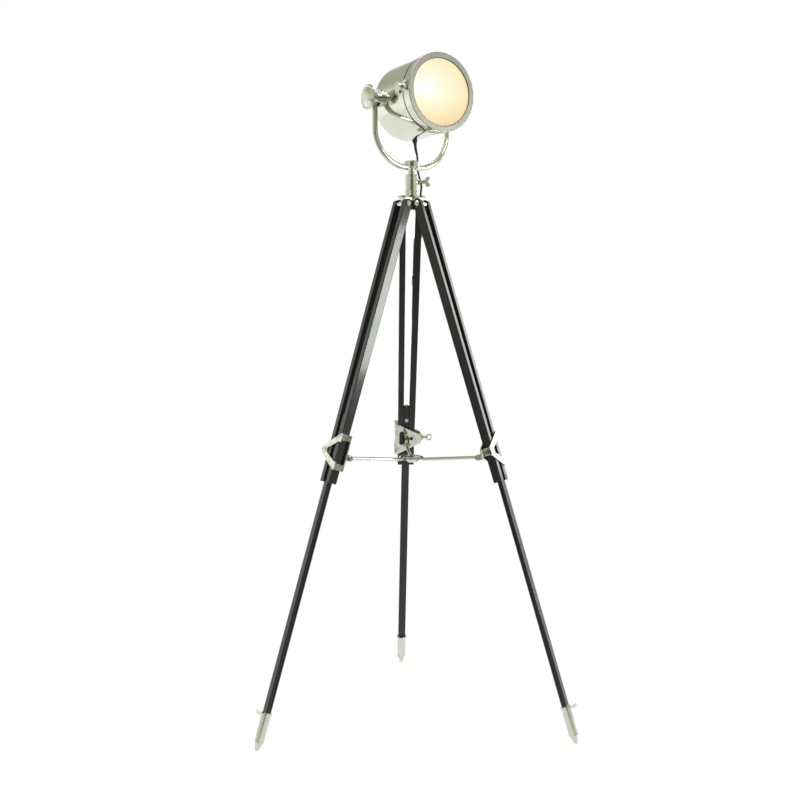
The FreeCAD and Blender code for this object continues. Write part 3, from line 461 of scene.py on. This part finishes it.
nickel = polished("nickel_polished")
spun_nickel = polished("nickel_spun", HEAD, 0.05)
cast_nickel = polished("nickel_cast", waves=0.2)
satin_nickel = satin("nickel_satin")
rubber = plain("rubber_black", (0.012, 0.012, 0.012), (0.022, 0.022, 0.021), 0.6)
plastic = plain("plastic_black", (0.014, 0.014, 0.014), (0.02, 0.02, 0.02), 0.38, 60.0)
flex_black = plain("flex_black", (0.016, 0.016, 0.015), (0.026, 0.026, 0.024), 0.42, 200.0)
steel = plain("steel_bright", (0.52, 0.51, 0.46), (0.62, 0.61, 0.55), 0.22, 200.0, 0.03,
              Metallic=1.0)
dark_steel = plain("steel_dark", (0.05, 0.045, 0.035), (0.09, 0.08, 0.06), 0.4, 300.0, 0.05,
                   Metallic=1.0)
aluminium = plain("aluminium_spun", (0.8, 0.8, 0.79), (0.88, 0.88, 0.87), 0.15, 90.0, 0.03,
                  Metallic=1.0)
ceramic = plain("ceramic_white", (0.72, 0.70, 0.65), (0.8, 0.78, 0.73), 0.3, 40.0, 0.02)
opal = plain("opal_glass", (0.86, 0.82, 0.73), (0.9, 0.87, 0.79), 0.2, 40.0, 0.01)
strap_cloth = woven("strap_cloth")
lens_glow = lit_lens("lens_frosted")

for leg, turn in TURNS.items():
    dress(wood("wood_slats_" + leg, turn, True), "slat_cw_" + leg, "slat_ccw_" + leg)
    dress(wood("wood_lower_" + leg, turn, False), "lower_leg_" + leg)
    dress(nickel, "pivot_bolt_" + leg, "ferrule_" + leg, "thumbscrew_" + leg, "spreader_rod_" + leg)
    dress(cast_nickel, "clamp_" + leg)
    dress(steel, "stop_screw_" + leg)
dress(nickel, "spreader_disc", "crown", "sleeve", "stem_screw", "stem", "fork", "trunnion_left",
      "trunnion_right", "tilt_knob_left", "tilt_knob_right", "latch_screw", "latch_plate",
      "hinge_drum", "hinge_bezel", "cord_guide")
dress(spun_nickel, "drum", "rear_cap")
dress(satin_nickel, "bezel", "retainer")
dress(lens_glow, "lens")
dress(rubber, "gasket", "grommet", "gland")
dress(aluminium, "reflector")
dress(ceramic, "lampholder")
dress(opal, "bulb")
dress(plastic, "plug")
for cord in (flex_head, flex_stem, flex_wound):
    cord.data.materials.append(flex_black)


# --- strap round the coil -----------------------------------------------------------------
def strap():
    """A woven band round the coil, bulging a little between its edges."""
    half_x = COIL_PITCH / 2 + CORD / 2 + 0.0011
    front = SLAT_BACK + 0.0005
    back = 2 * COIL_DEPTH - SLAT_BACK
    corner = 0.004
    bm = bmesh.new()
    outline = []
    for side_x, end_y, start in ((1, back - corner, 0), (-1, back - corner, 90),
                                 (-1, front + corner, 180), (1, front + corner, 270)):
        for step in range(7):
            angle = math.radians(start + 15 * step)
            outline.append((side_x * (half_x - corner) + corner * math.cos(angle),
                            end_y + corner * math.sin(angle)))
    rows = 9
    half_width = 0.0096
    rings = []
    for row in range(rows):
        z = -half_width + 2 * half_width * row / (rows - 1)
        swell = 1 - abs(row - (rows - 1) / 2) * 0.004
        ring = [bm.verts.new((COIL_X + x * swell, y, COIL_S + z)) for x, y in outline]
        rings.append(ring)
    for low, high in zip(rings, rings[1:]):
        for k in range(len(outline)):
            after = (k + 1) % len(outline)
            bm.faces.new((low[k], low[after], high[after], high[k])).smooth = True
    mesh = bpy.data.meshes.new("strap_band")
    bm.to_mesh(mesh)
    bm.free()
    band = link("strap_band", mesh)
    mesh.transform(leg_matrix(0.0))
    solid = band.modifiers.new("thick", "SOLIDIFY")
    solid.thickness = 0.001
    solid.offset = 0
    mesh.materials.append(strap_cloth)
    return band


band = strap()
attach(band, "upper_rear")
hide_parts("coil_strap")


# --- small fittings -----------------------------------------------------------------------
def dark_ring(name, along, radius, thick, body):
    """Thin ring of black rubber round the head's axis, which paints a dark line of shade."""
    steps = 96
    line = []
    for step in range(steps + 1):
        angle = 2 * math.pi * step / steps
        line.append(HEAD @ Vector((along, radius * math.cos(angle), radius * math.sin(angle))))
    ring = sweep(name, line, thick / 2, sides=10)
    ring.data.materials.append(rubber)
    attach(ring, body)


def rivet(name, along, turn, radius):
    """Small dark rivet on the latch foot of the bezel; turn is up from the tilt axis."""
    turn = math.radians(turn)
    outward = Vector((0, -math.cos(turn), math.sin(turn)))
    line = []
    for reach in (0.0905, 0.0930, 0.0934, 0.0937):
        line.append(HEAD @ (Vector((along, 0, 0)) + outward * reach))
    stud = sweep(name, line, [radius, radius, radius * 0.8, radius * 0.35], sides=20)
    stud.data.materials.append(dark_steel)
    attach(stud, "bezel")


def boot():
    """Tapered strain relief with six ridges, round the cord under the drum; it bends with it."""
    reach = 0.024
    length = 0.0
    line = []
    for a, b in zip(head_line, head_line[1:]):
        line.append(a)
        length += (b - a).length
        if length > reach:
            break
    radii = []
    for i in range(len(line)):
        share = i / (len(line) - 1)
        ridge = 0.0003 * math.cos(share * 2 * math.pi * 6)
        radii.append(0.0036 - 0.0008 * share + ridge)
    piece = sweep("strain_relief", line, radii, sides=24)
    piece.data.materials.append(rubber)
    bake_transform(piece)


# painted shade: black ring in the dark line of shade where the bezel's bore meets the lens
dark_ring("lens_edge_shade_ring", 0.1242, 0.0766, 0.0018, "bezel")
# painted shade: black ring on the drum in the dark line of shade at the seam behind the bezel
dark_ring("bezel_seam_shade_ring", 0.0990, 0.0882, 0.0017, "head")
rivet("latch_rivet_upper", 0.1166, 8.0, 0.0022)
rivet("latch_rivet_lower", 0.1150, 0.0, 0.0019)
boot()

# --- light and stage ----------------------------------------------------------------------
def softbox(name, centre, aim, width, height, radiance, tint=(1, 1, 1)):
    """A flat light at centre that faces aim; radiance is what a mirror shows of it."""
    light = bpy.data.lights.new(name, "AREA")
    light.shape = "RECTANGLE"
    light.size = width
    light.size_y = height
    light.energy = radiance * width * height * math.pi
    light.color = tint
    lamp = bpy.data.objects.new(name, light)
    lamp.location = centre
    lamp.rotation_euler = (Vector(aim) - Vector(centre)).to_track_quat("-Z", "Y").to_euler()
    bpy.context.scene.collection.objects.link(lamp)


softbox("right_box", (2.5, -1.45, 1.04), (0, 0, 1.0), 1.1, 0.72, 16.0, (0.94, 1.0, 0.93))
softbox("back_right_box", (2.3, 1.35, 1.5), (0, 0, 1.0), 1.0, 1.3, 2.0)
softbox("back_left_box", (-2.5, 1.7, 1.05), (0, 0, 0.9), 1.2, 1.1, 0.2, (0.97, 1.0, 0.93))
softbox("top_box", (-0.5, -0.6, 3.2), (0, 0, 1.0), 1.6, 1.6, 2.2)


def studio_world():
    """White to the camera; to gloss, pale sides, a whiter back, and a dark zone at the camera."""
    world = bpy.data.worlds.new("studio")
    bpy.context.scene.world = world
    world.use_nodes = True
    tree = world.node_tree
    tree.nodes.clear()

    def add(kind, **settings):
        node = tree.nodes.new("ShaderNode" + kind)
        for key, value in settings.items():
            setattr(node, key, value)
        return node

    def join(a, b):
        tree.links.new(a, b)

    def fade(value, low, high):
        node = add("MapRange", interpolation_type="SMOOTHSTEP")
        join(value, node.inputs["Value"])
        node.inputs["From Min"].default_value = low
        node.inputs["From Max"].default_value = high
        return node.outputs["Result"]

    def mix(factor, a, b):
        node = add("Mix", data_type="RGBA")
        if isinstance(factor, float):
            node.inputs["Factor"].default_value = factor
        else:
            join(factor, node.inputs["Factor"])
        for value, socket in ((a, node.inputs[6]), (b, node.inputs[7])):
            if isinstance(value, tuple):
                socket.default_value = (*value, 1)
            else:
                join(value, socket)
        return node.outputs[2]

    def times(a, b):
        node = add("Math", operation="MULTIPLY")
        join(a, node.inputs[0])
        join(b, node.inputs[1])
        return node.outputs[0]

    def less(a):
        node = add("Math", operation="SUBTRACT")
        node.inputs[0].default_value = 1.0
        join(a, node.inputs[1])
        return node.outputs[0]

    direction = add("TexCoord").outputs["Generated"]
    split = add("SeparateXYZ")
    join(direction, split.inputs[0])
    up = split.outputs["Z"]
    back = fade(split.outputs["Y"], -0.15, 0.35)
    flipped = add("Math", operation="MULTIPLY")
    join(split.outputs["Y"], flipped.inputs[0])
    flipped.inputs[1].default_value = -1.0
    front = fade(flipped.outputs[0], 0.80, 0.98)
    high = fade(up, 0.2, 0.5)
    sky = mix(high, (0.66, 0.68, 0.59), (0.47, 0.49, 0.41))
    sky = mix(times(back, less(high)), sky, (0.93, 0.94, 0.91))
    sky = mix(times(front, less(high)), sky, (0.14, 0.135, 0.105))
    path = add("LightPath")
    seen = mix(path.outputs["Is Glossy Ray"], (0.55, 0.55, 0.53), sky)
    seen = mix(path.outputs["Is Transmission Ray"], seen, (1.0, 1.0, 1.0))
    seen = mix(path.outputs["Is Camera Ray"], seen, (1.0, 1.0, 1.0))
    background = add("Background")
    join(seen, background.inputs["Color"])
    output = add("OutputWorld")
    join(background.outputs[0], output.inputs["Surface"])


studio_world()


def floor():
    """Pale floor that keeps the shadow near the object and is white farther out."""
    bm = bmesh.new()
    bmesh.ops.create_grid(bm, x_segments=1, y_segments=1, size=30)
    mesh = bpy.data.meshes.new("floor")
    bm.to_mesh(mesh)
    bm.free()
    ground = link("floor", mesh)
    ground.location.z = -0.0004
    m = Nodes("floor_white")
    m.base(Base_Color=(0.8, 0.8, 0.79, 1), Roughness=0.9, Specular_IOR_Level=0.1)
    path = m.add("LightPath")
    split = m.add("SeparateXYZ", None, Vector=m.place(None))
    square = m.math("ADD", m.math("MULTIPLY", split.outputs["X"], split.outputs["X"]),
                    m.math("MULTIPLY", split.outputs["Y"], split.outputs["Y"]))
    ease = {"interpolation_type": "SMOOTHSTEP"}
    far = m.add("MapRange", ease, Value=m.math("SQRT", square), From_Min=0.6, From_Max=1.6,
                To_Min=0.8, To_Max=1.0)
    behind = m.add("MapRange", ease, Value=split.outputs["Y"], From_Min=-1.6, From_Max=0.1,
                   To_Min=0.35)
    white = m.add("Emission", None, Color=(1, 1, 1, 1))
    direct = m.math("MULTIPLY", path.outputs["Is Camera Ray"],
                    m.math("SUBTRACT", 1.5, m.math("MULTIPLY", far.outputs["Result"], 0.5)))
    mirrored = m.math("MULTIPLY", path.outputs["Is Glossy Ray"], behind.outputs["Result"])
    m.put(white, "Strength", m.math("ADD", direct, mirrored))
    seen = m.math("MAXIMUM", path.outputs["Is Camera Ray"], path.outputs["Is Glossy Ray"])
    share = m.math("MULTIPLY", seen, far.outputs["Result"])
    blend = m.add("MixShader", None, Fac=share)
    m.tree.links.new(m.shader.outputs[0], blend.inputs[1])
    m.tree.links.new(white.outputs[0], blend.inputs[2])
    output = m.tree.nodes["Material Output"]
    m.tree.links.new(blend.outputs[0], output.inputs["Surface"])
    mesh.materials.append(m.material)


floor()

bpy.context.scene.view_settings.view_transform = "Standard"
